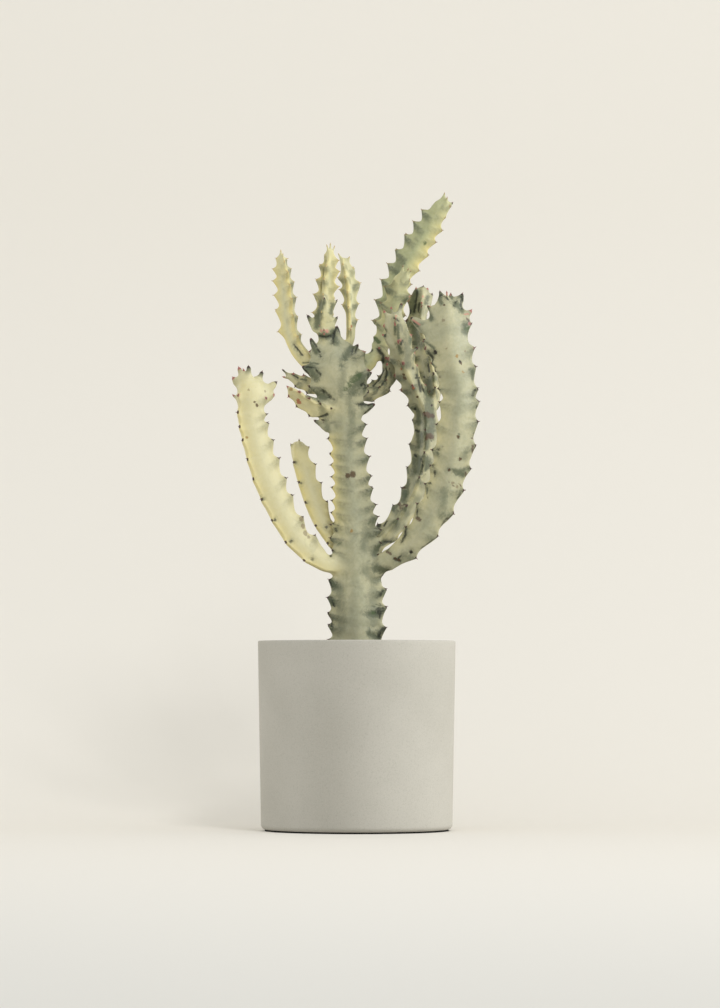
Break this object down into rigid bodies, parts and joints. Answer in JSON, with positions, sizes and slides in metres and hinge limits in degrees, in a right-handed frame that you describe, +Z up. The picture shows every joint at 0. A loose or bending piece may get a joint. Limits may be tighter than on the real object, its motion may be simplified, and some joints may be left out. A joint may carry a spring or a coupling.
{
  "type": "potted euphorbia",
  "caption": "Candelabra euphorbia in a plain cylindrical pot: a pale toothed trunk with curved side arms and slender upper shoots.",
  "frame": {"origin": "middle of the pot's flat underside", "axes": "+Z up along the pot's axis, -Y towards the side the picture shows, +X to the right seen from there"},
  "size_m": [0.2064, 0.165, 0.5429],
  "materials": {
    "pot_finish": "matte, very fine grain",
    "potting_mix": "rough, crumbly",
    "stem_grey_green": "waxy skin, marbled",
    "stem_cream": "waxy skin, pale yellow along the ribs",
    "stem_young": "waxy young skin"
  },
  "bodies": {
    "root": {"pot": "pot_finish", "soil": "potting_mix", "trunk": "stem_grey_green", "arm_left_outer": "stem_cream", "arm_left_inner": "stem_cream", "arm_right_outer": "stem_grey_green", "arm_right_inner": "stem_grey_green", "shoot_left": "stem_young", "shoot_middle": "stem_young", "shoot_centre_right": "stem_young", "shoot_tall": "stem_young", "shoot_curled": "stem_grey_green", "stub_left_upper": "stem_cream", "stub_left_lower": "stem_cream"}
  },
  "joints": []
}
